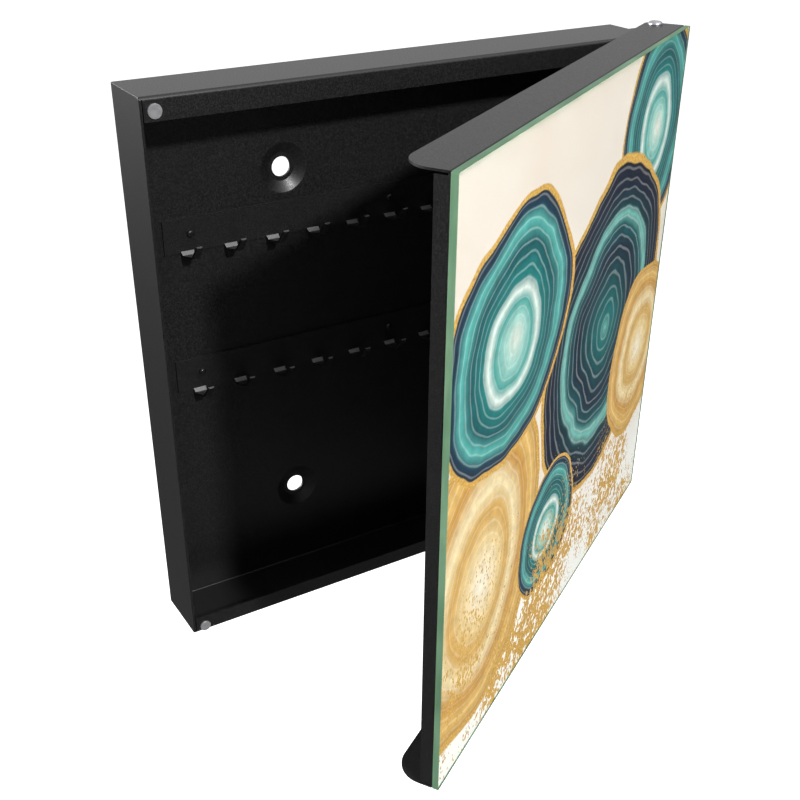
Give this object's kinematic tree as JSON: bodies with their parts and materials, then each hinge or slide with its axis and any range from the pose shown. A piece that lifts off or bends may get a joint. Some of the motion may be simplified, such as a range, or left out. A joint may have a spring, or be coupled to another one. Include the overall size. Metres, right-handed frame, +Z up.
{
  "type": "magnetic key holder box",
  "caption": "Shallow square wall cabinet of folded sheet steel with two rows of small hooks, closed by a printed glass front that swings on side pivots and is held by two magnets",
  "frame": {"origin": "on the wall plane, midway between the four wall screw holes", "axes": "+X to the right seen from the front, +Y into the wall, +Z up"},
  "size_m": [0.3286, 0.2097, 0.308],
  "materials": {
    "case_coat": "fine textured matt black powder coat",
    "strip_coat": "fine textured matt black powder coat",
    "rivet_black": "satin black lacquer",
    "magnet_silver": "bright nickel plating",
    "pivot_steel": "zinc plated steel",
    "washer_black": "black nylon",
    "tray_coat": "fine textured matt black powder coat",
    "door_glass": "clear float glass with polished edges",
    "door_print": "printed layer seen through the glass"
  },
  "bodies": {
    "case": {"cabinet_shell": "case_coat", "hook_strip_upper": "strip_coat", "hook_strip_lower": "strip_coat", "strip_rivets_upper": "rivet_black", "strip_rivets_lower": "rivet_black", "catch_magnet_top": "magnet_silver", "catch_magnet_bottom": "magnet_silver", "hinge_rivet_top": "pivot_steel", "hinge_rivet_bottom": "pivot_steel", "hinge_washer_top": "washer_black", "hinge_washer_bottom": "washer_black"},
    "door": {"door_tray": "tray_coat", "glass_panel": "door_glass", "glass_print": "door_print"}
  },
  "joints": [
    {"name": "door_hinge", "type": "hinge", "parent": "case", "child": "door", "pos_m": [0.1633, -0.0272, 0], "axis": [0, 0, 1], "range_deg": [-31.9, 148.1]}
  ]
}
